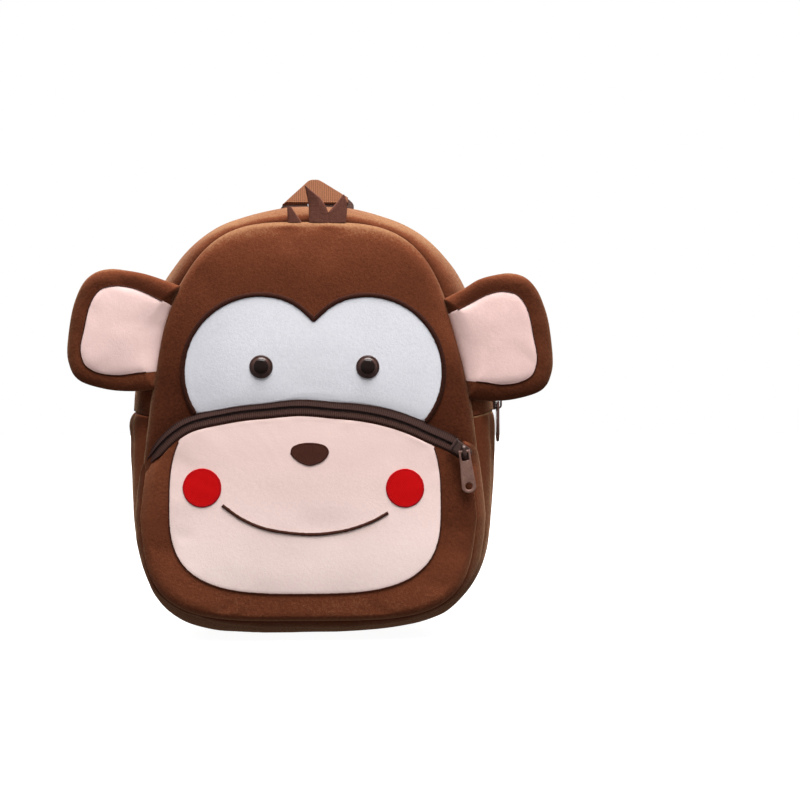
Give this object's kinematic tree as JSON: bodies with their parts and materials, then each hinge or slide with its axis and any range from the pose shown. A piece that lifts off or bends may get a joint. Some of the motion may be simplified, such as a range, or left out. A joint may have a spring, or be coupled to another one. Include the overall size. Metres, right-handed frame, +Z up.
{
  "type": "plush animal backpack",
  "caption": "Small plush backpack with an animal face, arched zip pocket in front, soft ears, webbing grab handle and padded shoulder straps with ladder-lock buckles.",
  "frame": {"origin": "middle of the flat base the bag stands on", "axes": "+Z up, the face looks along -Y, the straps are on the +Y side, +X to the right as the face is seen"},
  "size_m": [0.271, 0.1248, 0.2672],
  "materials": {
    "plush_brown": "short velvet plush",
    "plush_white": "short velvet plush",
    "plush_pink": "short velvet plush",
    "plush_yellow": "short velvet plush",
    "thread_red": "satin stitch",
    "thread_brown": "satin stitch",
    "zip_tape": "woven tape",
    "zip_teeth": "moulded coil",
    "zip_metal": "satin paint",
    "felt": "matt felt",
    "webbing": "ribbed webbing",
    "buckle_plastic": "moulded",
    "eye_plastic": "polished"
  },
  "bodies": {
    "bag": {"front_panel": "plush_brown", "pocket_panel": "plush_brown", "pocket_band": "plush_brown", "gusset_lower": "plush_brown", "gusset_front": "plush_brown", "gusset_back": "plush_brown", "back_panel": "plush_brown", "ear_left": "plush_brown", "ear_right": "plush_brown", "eye_patch": "plush_white", "muzzle_patch": "plush_pink", "ear_lining_left": "plush_pink", "ear_lining_right": "plush_pink", "strap_left": "plush_yellow", "strap_right": "plush_yellow", "cheek_left": "thread_red", "cheek_right": "thread_red", "nose": "thread_brown", "mouth": "thread_brown", "pocket_tape_upper": "zip_tape", "pocket_tape_lower": "zip_tape", "main_zip": "zip_tape", "pocket_coil": "zip_teeth", "pocket_slider": "zip_metal", "main_slider": "zip_metal", "hair_tuft": "felt", "grab_handle": "webbing", "web_upper_left": "webbing", "web_upper_right": "webbing", "web_lower_left": "webbing", "web_lower_right": "webbing", "buckle_left": "buckle_plastic", "buckle_right": "buckle_plastic", "eye_left": "eye_plastic", "eye_right": "eye_plastic"},
    "pocket_pull": {"pocket_pull": "zip_metal"},
    "main_pull": {"main_pull": "zip_metal"}
  },
  "joints": [
    {"name": "pocket_pull_swing", "type": "hinge", "parent": "bag", "child": "pocket_pull", "pos_m": [0.0836, -0.0569, 0.10435], "axis": [-0.9914, 0, -0.1305], "range_deg": [0, 150]},
    {"name": "main_pull_swing", "type": "hinge", "parent": "bag", "child": "main_pull", "pos_m": [0.10857, 0, 0.1315], "axis": [0, -1, 0], "range_deg": [0, 150]}
  ]
}
